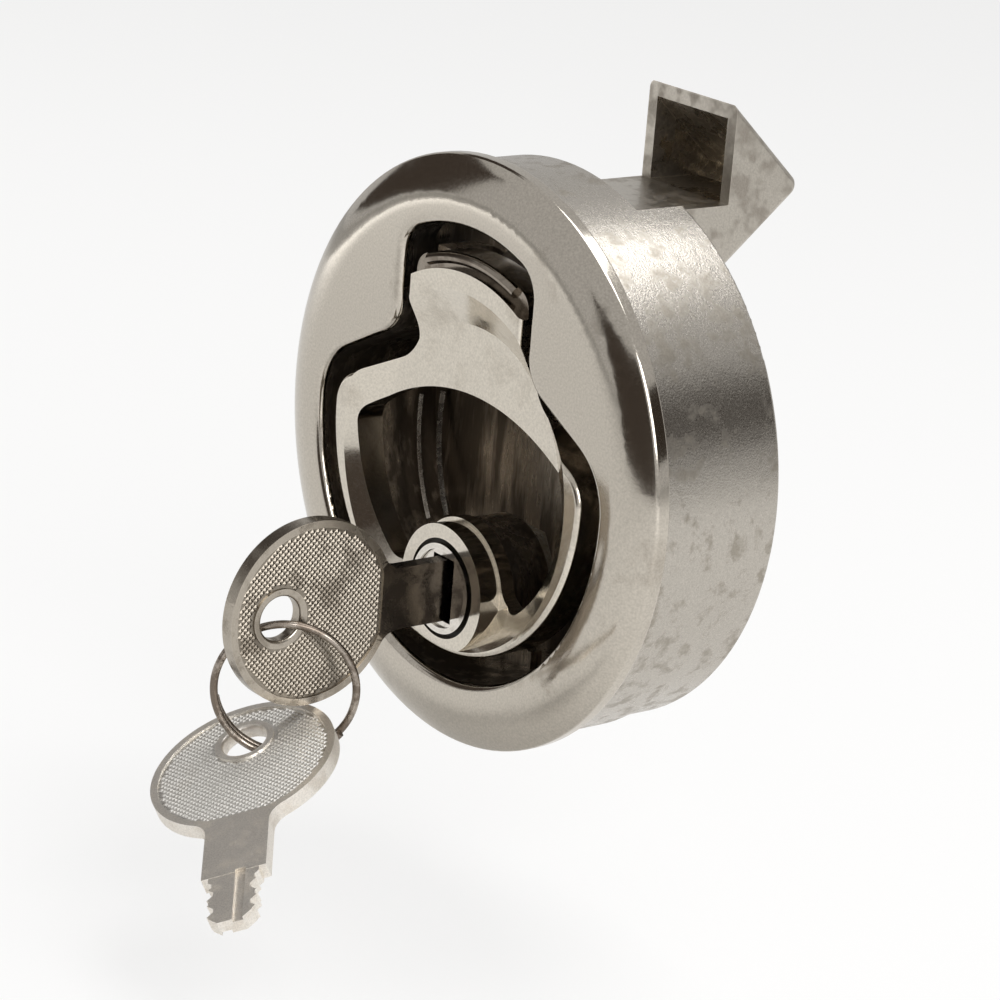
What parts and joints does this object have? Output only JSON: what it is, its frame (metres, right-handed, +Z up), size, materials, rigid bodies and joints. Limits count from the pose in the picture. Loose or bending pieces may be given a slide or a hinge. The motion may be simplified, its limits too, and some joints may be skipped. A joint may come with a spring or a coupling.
{
  "type": "flush hatch latch",
  "caption": "Round flush hatch latch with a key-locked pull handle in a cast cup and a sprung hollow wedge bolt behind it, with a key in the lock and a spare on a split ring.",
  "frame": {"origin": "centre of the flange's seat, on the axis of the cup", "axes": "+X to the right seen from the front, +Y into the panel along the cup's axis, +Z up towards the bolt"},
  "size_m": [0.0762, 0.0952, 0.0898],
  "materials": {
    "cup_steel": "cast stainless steel, flange polished, sides satin and speckled",
    "handle_steel": "cast stainless steel, face polished, inner walls rough",
    "bolt_steel": "cast stainless steel, satin",
    "pin_steel": "turned stainless steel",
    "spring_steel": "drawn spring steel",
    "washer_plastic": "black acetal",
    "bush_bronze": "sintered bronze",
    "lock_chrome": "chrome plated",
    "plug_chrome": "chrome plated, recess dark",
    "lock_rubber": "black seal",
    "nut_steel": "zinc plated",
    "cam_steel": "pressed steel, zinc plated",
    "wafer_brass": "stamped brass",
    "key_nickel": "brass, nickel plated, bow knurled",
    "ring_steel": "dark spring steel",
    "stop_rubber": "black rubber"
  },
  "bodies": {
    "housing": {"housing": "cup_steel", "pivot_pin": "pin_steel", "pin_clip": "spring_steel", "hinge_washers": "washer_plastic", "bolt_spring": "spring_steel", "handle_spring": "spring_steel", "rubber_stops": "stop_rubber"},
    "handle": {"pull_handle": "handle_steel", "lock_shell": "lock_chrome", "lock_seal": "lock_rubber", "lock_nut": "nut_steel"},
    "bolt": {"latch_bolt": "bolt_steel", "bolt_bush": "bush_bronze"},
    "plug": {"lock_plug": "plug_chrome", "wafers": "wafer_brass", "lock_cam": "cam_steel", "cam_screw": "nut_steel"},
    "key": {"key_in_lock": "key_nickel"},
    "ring": {"split_ring": "ring_steel"},
    "spare": {"spare_key": "key_nickel"}
  },
  "joints": [
    {"name": "handle_lift", "type": "hinge", "parent": "housing", "child": "handle", "pos_m": [0, 0.0055, 0.02], "axis": [-1, 0, 0], "range_deg": [0, 20], "stiffness_Nm_per_rad": 0.08, "springref_deg": -28.65, "deforming": ["handle_spring"]},
    {"name": "bolt_slam", "type": "hinge", "parent": "handle", "child": "bolt", "pos_m": [0, 0.0055, 0.02], "axis": [-1, 0, 0], "range_deg": [0, 16], "stiffness_Nm_per_rad": 0.06, "springref_deg": -28.65, "deforming": ["bolt_spring"]},
    {"name": "key_turn", "type": "hinge", "parent": "handle", "child": "plug", "pos_m": [0, 0, -0.0177], "axis": [0, 1, 0], "range_deg": [0, 90]},
    {"name": "key_slide", "type": "slide", "parent": "plug", "child": "key", "axis": [0, -1, 0], "range_m": [0, 0.024]},
    {"name": "ring_swing", "type": "hinge", "parent": "key", "child": "ring", "pos_m": [0, -0.02925, -0.0187], "axis": [0.6011, 0.7782, 0.1816], "range_deg": [-4, 4]},
    {"name": "spare_swing", "type": "hinge", "parent": "ring", "child": "spare", "pos_m": [-0.00262, -0.03072, -0.03506], "axis": [-0.4933, -0.7179, 0.4912], "range_deg": [-5, 5]}
  ]
}
